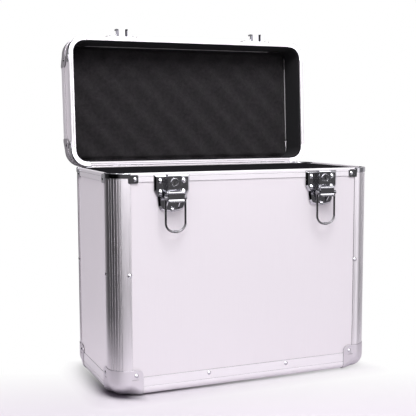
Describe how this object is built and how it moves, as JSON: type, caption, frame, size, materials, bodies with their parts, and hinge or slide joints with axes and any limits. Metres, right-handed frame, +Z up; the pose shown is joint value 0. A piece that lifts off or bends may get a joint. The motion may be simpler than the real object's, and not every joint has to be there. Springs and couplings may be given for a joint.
{
  "type": "record carrying case",
  "caption": "Upright carrying case for vinyl records with a hinged lid held open, bail latches, metal corners and a folding top handle.",
  "frame": {"origin": "on the floor in the middle of the four feet", "axes": "+X to the right seen from the front, -Y out of the front with the latches, +Z up"},
  "size_m": [0.414, 0.3123, 0.5267],
  "materials": {
    "laminate": "plywood with a satin silver laminate skin",
    "die_cast": "polished, chrome plated",
    "corner_metal": "satin",
    "extrusion": "satin anodised",
    "lining": "dark felt on board",
    "pad": "dark foam sheet",
    "foam": "dark convoluted foam",
    "rivet": "polished domed heads",
    "rubber": "matt black",
    "grip": "black, fine grained",
    "pin_steel": "plain",
    "lock": "plated",
    "plated_steel": "chrome plated steel"
  },
  "bodies": {
    "base": {"base_panel_front": "laminate", "base_rim_front": "extrusion", "base_edge_front": "extrusion", "base_panel_back": "laminate", "base_rim_back": "extrusion", "base_edge_back": "extrusion", "base_panel_left": "laminate", "base_rim_left": "extrusion", "base_edge_left": "extrusion", "base_panel_right": "laminate", "base_rim_right": "extrusion", "base_edge_right": "extrusion", "base_panel_bottom": "laminate", "base_column_front_left": "extrusion", "base_cap_front_left": "corner_metal", "base_column_front_right": "extrusion", "base_cap_front_right": "corner_metal", "base_column_rear_left": "extrusion", "base_cap_rear_left": "corner_metal", "base_column_rear_right": "extrusion", "base_cap_rear_right": "corner_metal", "base_rim_brackets": "die_cast", "base_lining": "lining", "floor_pad": "pad", "base_rivets": "rivet", "latch_rivets": "rivet", "latch_pivot_pins": "pin_steel", "latch_body_left": "plated_steel", "latch_body_right": "plated_steel", "rubber_feet": "rubber", "hinge_leaves_base": "plated_steel", "hinge_pins": "pin_steel"},
    "lid": {"hinge_leaves_lid": "plated_steel", "lid_panel_front": "laminate", "lid_panel_back": "laminate", "lid_panel_left": "laminate", "lid_panel_right": "laminate", "lid_panel_top": "laminate", "lid_rims": "extrusion", "lid_edges": "extrusion", "lid_columns": "extrusion", "lid_caps": "corner_metal", "lid_rim_brackets": "die_cast", "lid_lining": "lining", "lid_foam": "foam", "catch_left": "plated_steel", "handle_bracket_left": "plated_steel", "catch_right": "plated_steel", "handle_bracket_right": "plated_steel", "lid_rivets": "rivet"},
    "handle": {"handle_bow": "plated_steel", "handle_grip": "grip"},
    "lever_left": {"latch_lever_left": "plated_steel"},
    "bail_left": {"latch_bail_left": "plated_steel"},
    "lock_left": {"lock_barrel_left": "lock"},
    "lever_right": {"latch_lever_right": "plated_steel"},
    "bail_right": {"latch_bail_right": "plated_steel"},
    "lock_right": {"lock_barrel_right": "lock"}
  },
  "joints": [
    {"name": "lid_hinge", "type": "hinge", "parent": "base", "child": "lid", "pos_m": [0, 0.1036, 0.3093], "axis": [1, 0, 0], "range_deg": [0, 93.5]},
    {"name": "lever_left_swing", "type": "hinge", "parent": "base", "child": "lever_left", "pos_m": [-0.1175, -0.1162, 0.2842], "axis": [-1, 0, 0], "range_deg": [0, 95]},
    {"name": "bail_left_swing", "type": "hinge", "parent": "lever_left", "child": "bail_left", "pos_m": [-0.1175, -0.1165, 0.2775], "axis": [1, 0, 0], "range_deg": [-190, 15]},
    {"name": "lock_left_turn", "type": "hinge", "parent": "base", "child": "lock_left", "pos_m": [-0.1175, -0.114, 0.2985], "axis": [0, 1, 0], "range_deg": [0, 90]},
    {"name": "lever_right_swing", "type": "hinge", "parent": "base", "child": "lever_right", "pos_m": [0.1175, -0.1162, 0.2842], "axis": [-1, 0, 0], "range_deg": [0, 95]},
    {"name": "bail_right_swing", "type": "hinge", "parent": "lever_right", "child": "bail_right", "pos_m": [0.1175, -0.1165, 0.2775], "axis": [1, 0, 0], "range_deg": [-190, 15]},
    {"name": "lock_right_turn", "type": "hinge", "parent": "base", "child": "lock_right", "pos_m": [0.1175, -0.114, 0.2985], "axis": [0, 1, 0], "range_deg": [0, 90]},
    {"name": "handle_swing", "type": "hinge", "parent": "lid", "child": "handle", "pos_m": [0, 0.18129, 0.40834], "axis": [1, 0, 0], "range_deg": [0, 180]}
  ]
}
